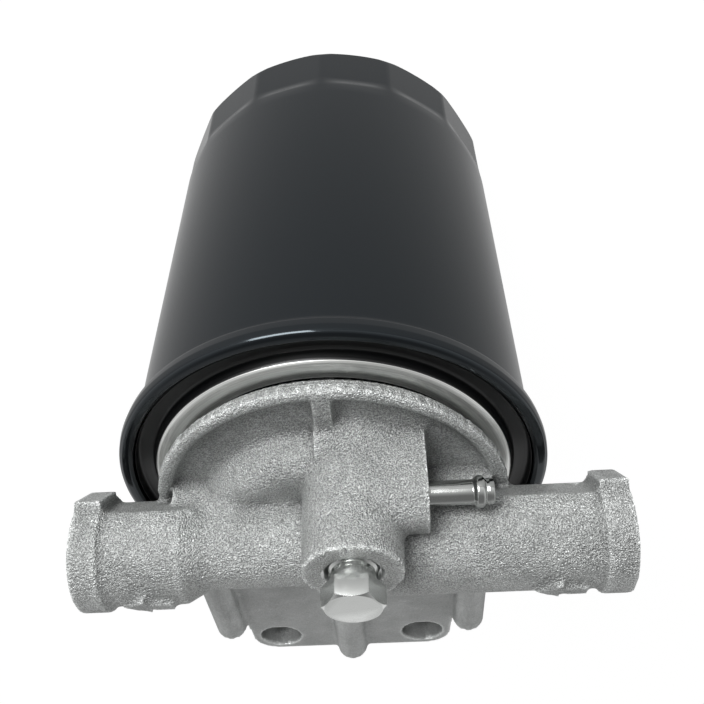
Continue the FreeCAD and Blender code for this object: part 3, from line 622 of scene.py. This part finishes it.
def buildPlug():
    s = plugShape
    foot = s["foot"]
    hexFoot = (plugHigh.z - plugLow.z) / mm - s["hexHeight"]
    shoulder = hexFoot - s["neckHeight"]
    threadFoot = shoulder - s["threadLength"]
    root, crest = s["threadRoot"], s["threadCrest"]
    corners = [
        (0.6, 0.0),
        (s["tip"], 0.0),
        (s["spigot"], 1.6),
        (s["spigot"], threadFoot),
        (root, threadFoot),
    ]
    height = threadFoot + 0.5
    while height < shoulder - 0.4:
        corners += [(crest, height), (crest, height + 0.12)]
        corners += [(root, height + 0.5), (root, height + 0.62)]
        height += s["pitch"]
    corners += [
        (root, shoulder),
        (s["neckRadius"], shoulder + 0.35),
        (s["neckRadius"], hexFoot - 0.5),
        (root, hexFoot - 0.3),
        (root, hexFoot + 1.5),
    ]
    solid = {"segments": s["segments"], "capStart": True, "capEnd": True}
    plug = turnedPiece("bleedScrew", millimetres(corners), foot, **solid)

    deselectAll()
    bpy.ops.mesh.primitive_cylinder_add(
        vertices=6,
        radius=s["flats"] / math.sqrt(3) * mm,
        depth=s["hexHeight"] * mm,
        location=(foot.x, foot.y, plugHigh.z - s["hexHeight"] / 2 * mm),
        rotation=(0, 0, math.radians(30)),
    )
    head = bpy.context.active_object
    head.name = "bleedScrewHead"
    applyPlace(head)
    wide, top = 6.45, s["hexHeight"]
    chamfer = [
        (0.6, 0.0),
        (6.1, 0.0),
        (wide, 0.2),
        (wide, top - s["chamferFoot"]),
        (s["chamferRadius"], top),
        (0.6, top),
    ]
    base = Vector((foot.x, foot.y, plugHigh.z - s["hexHeight"] * mm))
    envelope = turnedPiece("chamferTool", millimetres(chamfer), base, **solid)
    applyModifier(head, "BOOLEAN", operation="INTERSECT", solver="MANIFOLD", object=envelope)
    bpy.data.objects.remove(envelope)
    joinPieces(plug, head)
    applyModifier(
        plug,
        "BEVEL",
        width=0.1 * mm,
        segments=2,
        limit_method="ANGLE",
        angle_limit=math.radians(30),
    )
    pick(plug)
    bpy.ops.object.shade_smooth_by_angle(angle=math.radians(24))
    finishPiece(plug, "bleed_screw", ["vent_plug"], plugNickel)
    return plug


hoseShape = {
    "bore": 1.6,
    "tube": 2.55,
    "bead": 3.3,
    "lip": 2.6,
    "segments": 96,
}


def buildHoseTail():
    s = hoseShape
    end = (hoseHigh.x - hoseLow.x) / mm
    corners = [
        (s["bore"], 0.3, 0),
        (s["bore"], 0.0, 0),
        (s["tube"], 0.0, 0.2),
        (s["tube"], end - 4.3, 0.5),
        (s["bead"], end - 3.5, 0.7),
        (s["bead"], end - 2.2, 0.7),
        (s["lip"], end - 1.7, 0.3),
        (s["lip"] + 0.15, end - 1.0, 0.3),
        (s["lip"], end, 0.35),
        (s["bore"], end, 0.2),
        (s["bore"], 0.3, 0),
    ]
    section = roundedSection(millimetres(corners))
    tail = turnedPiece("hoseTail", section, Vector((0, 0, 0)), segments=s["segments"])
    tail.rotation_euler = (0, -math.pi / 2, 0)
    tail.location = (hoseHigh.x, hoseMiddle.y, hoseMiddle.z)
    applyPlace(tail)
    finishPiece(tail, "housing", ["hose_nipple"], hoseNickel)
    return tail


studShape = {
    "bore": 5.0,
    "root": 7.1,
    "crest": 7.95,
    "pitch": 1.5,
    "crestWidth": 0.2,
    "segments": 96,
}


def buildStud():
    # the can's thread: ridges at the thread's pitch round a hollow stud
    s = studShape
    low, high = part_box("centre_stud")
    total = (high[2] - low[2]) / mm
    flank = (s["pitch"] - 2 * s["crestWidth"]) / 2
    corners = [(s["bore"], 0.3), (s["bore"], 0.0), (s["root"], 0.0)]
    height = 0.7
    while height < total - s["pitch"]:
        corners += [
            (s["root"], height),
            (s["crest"], height + flank),
            (s["crest"], height + flank + s["crestWidth"]),
            (s["root"], height + 2 * flank + s["crestWidth"]),
        ]
        height += s["pitch"]
    corners += [(s["root"], total), (s["bore"], total), (s["bore"], 0.3)]
    foot = Vector(((low[0] + high[0]) / 2, (low[1] + high[1]) / 2, low[2]))
    stud = turnedPiece("threadedStud", millimetres(corners), foot, segments=s["segments"])
    slot = nodeSlots["centre_stud"]
    finishPiece(stud, "housing", ["centre_stud"], finishes[slot])
    return stud


bypassSpringShape = {
    "coil": 5.5 * mm,
    "wire": 0.45 * mm,
    "turns": 5,
    "wireSides": 12,
    "stepsPerTurn": 48,
}


def buildBypassSpring():
    # the poppet presses it against the cage, so it shortens as the valve lifts; the coil here is
    # built once, at the length of its CAD box
    s = bypassSpringShape
    low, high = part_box("bypass_spring")
    length = high[2] - low[2]
    middle = ((low[0] + high[0]) / 2, (low[1] + high[1]) / 2)
    deselectAll()
    bpy.ops.mesh.primitive_circle_add(
        vertices=s["wireSides"],
        radius=s["wire"],
        location=(s["coil"], 0, s["wire"]),
        rotation=(math.pi / 2, 0, 0),
    )
    spring = bpy.context.active_object
    spring.name = "bypassSpring"
    applyPlace(spring)
    applyModifier(
        spring,
        "SCREW",
        angle=2 * math.pi * s["turns"],
        screw_offset=length - 2 * s["wire"],
        steps=s["turns"] * s["stepsPerTurn"],
        render_steps=s["turns"] * s["stepsPerTurn"],
    )
    spring.location = (middle[0], middle[1], low[2])
    applyPlace(spring)
    pick(spring)
    bpy.ops.object.mode_set(mode="EDIT")
    bpy.ops.mesh.select_all(action="SELECT")
    bpy.ops.mesh.remove_doubles(threshold=1e-7)
    bpy.ops.mesh.fill_holes(sides=0)
    bpy.ops.mesh.select_all(action="SELECT")
    bpy.ops.mesh.normals_make_consistent(inside=False)
    bpy.ops.object.mode_set(mode="OBJECT")
    bpy.ops.object.shade_smooth_by_angle(angle=math.radians(50))
    finishPiece(spring, "cartridge", ["bypass_spring"], finishes["spring_wire"])
    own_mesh(spring)
    return spring


castShape = {
    "voxel": 0.5 * mm,
    "kept": 0.65,  # the share of the voxel mesh's faces that the shape needs
    "hollowPasses": 17,  # how far inner corners fill with fillet
    "edgeShare": 0.05,  # how much outer edges soften beside inner corners
    "bossRadius": 10.1 * mm,
    "bossTop": 31.2 * mm,  # above the seam
    "bossRagged": {"reach": 1.3 * mm, "amount": 0.22 * mm, "seed": 11, "strands": 9},
    "sinkRadius": 6.1 * mm,
    "sinkFoot": 4.0 * mm,
    "sinkLength": 2.6 * mm,
    "sinkZone": 4 * mm,  # how far down from the boss top the sink is machined
    "tubeLevel": 16.3 * mm,
    "portRadius": 7.25 * mm,
    "rimRadius": 39.4 * mm,
    "rimLevel": 4.8 * mm,
    "rimRagged": {"reach": 1.6 * mm, "amount": 0.16 * mm, "seed": 12, "strands": 9},
    "threadRun": 14 * mm,  # how far the ports are machined
}


def wave(angle, seed, strands):
    random = np.random.default_rng(seed)
    total = np.zeros_like(angle)
    for _ in range(strands):
        pitch = random.integers(6, 130)
        total += np.sin(angle * pitch + random.uniform(0, 6.28)) / strands ** 0.5
    return total


def raggedEdge(points, outward, centre, radius, height, reach, amount, seed, strands):
    # a trimmed casting edge is torn and uneven along its length
    offset = points - np.array(centre)
    across = np.hypot(offset[:, 0], offset[:, 1])
    away = np.hypot(across - radius, offset[:, 2] - height)
    angle = np.arctan2(offset[:, 1], offset[:, 0])
    fade = np.clip(1 - away / reach, 0, 1)
    return points + outward * (wave(angle, seed, strands) * amount * fade)[:, None]


def smoothHollows(piece, passes, edgeShare):
    # inner corners fill up like cast fillets, outer edges keep most of their shape
    mesh = piece.data
    count = len(mesh.vertices)
    points = np.empty(count * 3)
    mesh.vertices.foreach_get("co", points)
    points = points.reshape(-1, 3)
    ends = np.empty(len(mesh.edges) * 2, dtype=np.int64)
    mesh.edges.foreach_get("vertices", ends)
    one, two = ends.reshape(-1, 2).T
    valence = np.bincount(one, minlength=count) + np.bincount(two, minlength=count)
    normals = np.empty(count * 3)
    for turn in range(passes):
        if turn % 6 == 0:
            mesh.vertices.foreach_set("co", points.ravel())
            mesh.update()
            mesh.vertices.foreach_get("normal", normals)
            outward = normals.reshape(-1, 3)
        total = np.empty_like(points)
        for axis in range(3):
            along = points[:, axis]
            total[:, axis] = np.bincount(one, along[two], count)
            total[:, axis] += np.bincount(two, along[one], count)
        pull = total / valence[:, None] - points
        inner = np.einsum("ij,ij->i", pull, outward) > 0
        share = np.where(inner, 0.5, 0.5 * edgeShare)
        points = points + pull * share[:, None]
    mesh.vertices.foreach_set("co", points.ravel())
    mesh.update()


def cutCone(piece, name, foot, top, length, place):
    # a sharp turned surface, cut after the cast skin is smoothed
    deselectAll()
    bpy.ops.mesh.primitive_cone_add(
        vertices=96,
        radius1=foot,
        radius2=top,
        depth=length,
        location=place,
    )
    cutter = bpy.context.active_object
    cutter.name = name
    applyPlace(cutter)
    applyModifier(piece, "BOOLEAN", operation="DIFFERENCE", solver="MANIFOLD", object=cutter)
    bpy.data.objects.remove(cutter)


def buildCasting():
    s = castShape
    source = frame["nodes"]["filter_head"]
    head = source.copy()
    head.data = source.data.copy()
    head.name = "headCasting"
    head.parent = None
    bpy.context.collection.objects.link(head)
    pick(head)
    bpy.ops.object.mode_set(mode="EDIT")
    bpy.ops.mesh.select_all(action="SELECT")
    bpy.ops.mesh.remove_doubles(threshold=1e-6)
    bpy.ops.object.mode_set(mode="OBJECT")
    applyModifier(head, "REMESH", mode="VOXEL", voxel_size=s["voxel"])
    smoothHollows(head, s["hollowPasses"], s["edgeShare"])
    applyModifier(head, "DECIMATE", ratio=s["kept"])

    mesh = head.data
    points = np.empty(len(mesh.vertices) * 3)
    normals = np.empty(len(mesh.vertices) * 3)
    mesh.vertices.foreach_get("co", points)
    mesh.vertices.foreach_get("normal", normals)
    points, normals = points.reshape(-1, 3), normals.reshape(-1, 3)
    boss = Vector((plugMiddle.x, plugMiddle.y, seam.z))
    points = raggedEdge(points, normals, boss, s["bossRadius"], s["bossTop"], **s["bossRagged"])
    points = raggedEdge(points, normals, seam, s["rimRadius"], s["rimLevel"], **s["rimRagged"])
    mesh.vertices.foreach_set("co", points.ravel())
    mesh.update()

    mouth = (boss.x, boss.y, boss.z + s["bossTop"] - 0.2 * mm)
    wide = s["sinkRadius"] + 0.25 * mm
    cutCone(head, "sinkTool", s["sinkFoot"], wide, s["sinkLength"], mouth)
    print("casting triangles", sum(len(face.vertices) - 2 for face in mesh.polygons))
    pick(head)
    bpy.ops.object.shade_smooth_by_angle(angle=math.radians(50))
    finishPiece(head, "housing", ["filter_head"], casting)
    head.data.materials.append(machined)
    tubeHeight = seam.z + s["tubeLevel"]
    for face in mesh.polygons:
        x, y, z = face.center
        fromBoss = math.hypot(x - boss.x, y - boss.y)
        fromTube = math.hypot(y - seam.y, z - tubeHeight)
        fromEnd = min(x - headLow.x, headHigh.x - x)
        fromTop = seam.z + s["bossTop"] - z
        inSink = fromBoss < s["sinkRadius"] + 0.1 * mm and fromTop < s["sinkZone"]
        inPort = fromTube < s["portRadius"] + 1.4 * mm and fromEnd < s["threadRun"]
        if inSink or inPort:
            face.material_index = 1
    return head


buildCan()
print("can done")
buildLid()
print("lid done")
buildPlug()
buildHoseTail()
print("bright pieces done")
buildStud()
print("stud done")
buildBypassSpring()
print("bypass spring done")
buildCasting()
print("casting done")


stageLook = {
    "lens": 42.04,
    "eye": Vector((-13.8, -159.0, 109.4)) * mm,  # from the can axis at the seam
    "right": (-0.997753, 0.066280, 0.008186),
    "up": (-0.051448, -0.684743, -0.726977),
    "back": (-0.042579, -0.725765, 0.686591),
    "floorDrop": 0.5 * mm,
    "floorGlow": 0.88,
    "glossyShare": 0.34,
    "ambient": 0.14,
    # the room is white to eye level and dimmer overhead
    "ceiling": ((0.2, 1.0), (0.6, 0.62), (0.9, 0.25)),
    "lamps": (
        ("frontSoftbox", (0.4, -1.1, 0.28), 0.6, 16),
    ),
}


def seenDirectly(tree, glossy=1.0):
    # 1 for the camera's own rays and for what glass shows, and a chosen share for what metal shows
    rays = addNode(tree, "ShaderNodeLightPath")
    metal = addNode(
        tree,
        "ShaderNodeMath",
        {"operation": "MULTIPLY", 1: glossy},
        {0: rays.outputs["Is Glossy Ray"]},
    )
    either = addNode(
        tree,
        "ShaderNodeMath",
        {"operation": "MAXIMUM"},
        {0: rays.outputs["Is Camera Ray"], 1: metal.outputs[0]},
    )
    return addNode(
        tree,
        "ShaderNodeMath",
        {"operation": "MAXIMUM"},
        {0: either.outputs[0], 1: rays.outputs["Is Transmission Ray"]},
    ).outputs[0]


def buildStage():
    s = stageLook
    camera = bpy.data.objects.new("camera", bpy.data.cameras.new("camera"))
    bpy.context.collection.objects.link(camera)
    camera.data.lens = s["lens"]
    camera.data.sensor_width = 36
    camera.data.clip_start = 0.01
    turn = Matrix((s["right"], s["up"], s["back"])).transposed().to_4x4()
    camera.matrix_world = Matrix.Translation(seam + s["eye"]) @ turn
    bpy.context.scene.camera = camera

    deselectAll()
    bpy.ops.mesh.primitive_plane_add(size=60, location=(0, 0, cadBounds[0][2] - s["floorDrop"]))
    floor = bpy.context.active_object
    floor.name = "floor"
    material, tree, shader, place = newMaterial("paleFloor")
    shader.inputs["Base Color"].default_value = linear("#d6d6d6")
    shader.inputs["Roughness"].default_value = 0.9
    seen = seenDirectly(tree, s["glossyShare"])
    share = addNode(tree, "ShaderNodeMath", {"operation": "MULTIPLY", 1: s["floorGlow"]}, {0: seen})
    glow = addNode(tree, "ShaderNodeEmission", {"Color": (1, 1, 1, 1), "Strength": 1.12})
    mix = addNode(
        tree,
        "ShaderNodeMixShader",
        links={0: share.outputs[0], 1: shader.outputs[0], 2: glow.outputs[0]},
    )
    tree.links.new(mix.outputs[0], tree.nodes["Material Output"].inputs["Surface"])
    dress(floor, material)

    world = bpy.data.worlds.new("softRoom")
    world.use_nodes = True
    sky = world.node_tree
    strength = addNode(
        sky,
        "ShaderNodeMapRange",
        {"To Min": s["ambient"], "To Max": 1.0},
        {"Value": seenDirectly(sky)},
    )
    direction = addNode(sky, "ShaderNodeTexCoord").outputs["Generated"]
    rise = addNode(sky, "ShaderNodeSeparateXYZ", links={"Vector": direction}).outputs["Z"]
    ceiling = ramp(sky, rise, s["ceiling"])
    sky.links.new(ceiling, sky.nodes["Background"].inputs["Color"])
    sky.links.new(strength.outputs[0], sky.nodes["Background"].inputs["Strength"])
    bpy.context.scene.world = world

    for name, place, size, power in s["lamps"]:
        lamp = bpy.data.objects.new(name, bpy.data.lights.new(name, "AREA"))
        bpy.context.collection.objects.link(lamp)
        lamp.data.shape = "SQUARE"
        lamp.data.size = size
        lamp.data.energy = power
        lamp.location = seam + Vector(place)
        aim = seam - lamp.location
        lamp.rotation_euler = aim.to_track_quat("-Z", "Y").to_euler()
    bpy.context.scene.view_settings.view_transform = "Standard"


buildStage()
print("stage done")
